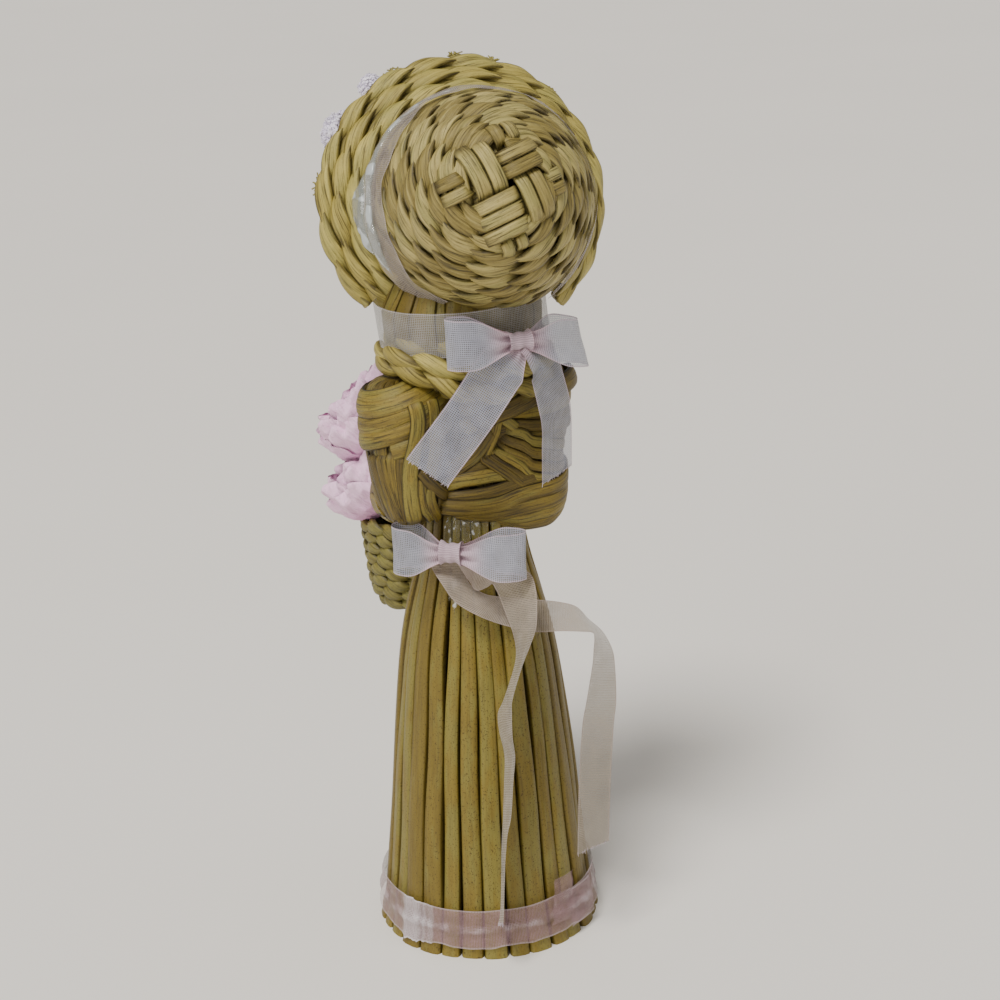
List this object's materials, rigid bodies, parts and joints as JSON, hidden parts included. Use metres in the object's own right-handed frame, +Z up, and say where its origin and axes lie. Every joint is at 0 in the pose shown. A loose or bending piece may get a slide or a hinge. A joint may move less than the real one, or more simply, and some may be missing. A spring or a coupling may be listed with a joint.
{
  "type": "straw bonnet doll",
  "caption": "Standing doll of rush stems in a twined bonnet and bell skirt, with wound arms that hold a flower basket and sheer ribbon bows at neck, waist and hem.",
  "frame": {"origin": "on the floor under the middle of the doll's outline", "axes": "+Z up, the doll faces -Y, its left hand side is +X"},
  "size_m": [0.061, 0.075, 0.1826],
  "materials": {
    "rush": "satin dried rush stems, speckled olive gold",
    "arm_rush": "satin flat rush strips, golden brown",
    "hat_rush": "matte pale twined straw",
    "basket_rush": "matte olive woven straw",
    "ribbon": "sheer pale pink woven ribbon",
    "glue": "clear glossy hot glue",
    "crepe_paper": "matte crinkled pink paper",
    "blossom_cloth": "frayed lilac white cloth"
  },
  "bodies": {
    "root": {"skirt_stem_01": "rush", "skirt_stem_02": "rush", "skirt_stem_03": "rush", "skirt_stem_04": "rush", "skirt_stem_05": "rush", "skirt_stem_06": "rush", "skirt_stem_07": "rush", "skirt_stem_08": "rush", "skirt_stem_09": "rush", "skirt_stem_10": "rush", "skirt_stem_11": "rush", "skirt_stem_12": "rush", "skirt_stem_13": "rush", "skirt_stem_14": "rush", "skirt_stem_15": "rush", "skirt_stem_16": "rush", "skirt_stem_17": "rush", "skirt_stem_18": "rush", "skirt_stem_19": "rush", "skirt_stem_20": "rush", "skirt_stem_21": "rush", "skirt_stem_22": "rush", "skirt_stem_23": "rush", "skirt_stem_24": "rush", "skirt_stem_25": "rush", "skirt_stem_26": "rush", "skirt_stem_27": "rush", "skirt_stem_28": "rush", "inner_stems": "rush", "back_strips": "rush", "shoulder_yoke": "arm_rush", "shoulder_rope_lower": "hat_rush", "shoulder_rope_upper": "hat_rush", "basket": "basket_rush", "left_arm": "arm_rush", "right_arm": "arm_rush", "left_arm_winding": "arm_rush", "right_arm_winding": "arm_rush", "head": "rush", "hat_crown": "hat_rush", "hat_brim": "hat_rush", "brim_blossom_upper": "blossom_cloth", "brim_blossom_lower": "blossom_cloth", "hat_band": "ribbon", "hat_glue": "glue", "neck_ribbon": "ribbon", "neck_bow": "ribbon", "neck_bow_knot": "ribbon", "neck_bow_tails": "ribbon", "waist_bow": "ribbon", "waist_bow_knot": "ribbon", "waist_glue": "glue", "waist_tail_down": "ribbon", "waist_tail_round": "ribbon", "hem_ribbon": "ribbon", "flower_upper": "crepe_paper", "flower_lower_left": "crepe_paper", "flower_lower_right": "crepe_paper"}
  },
  "joints": []
}
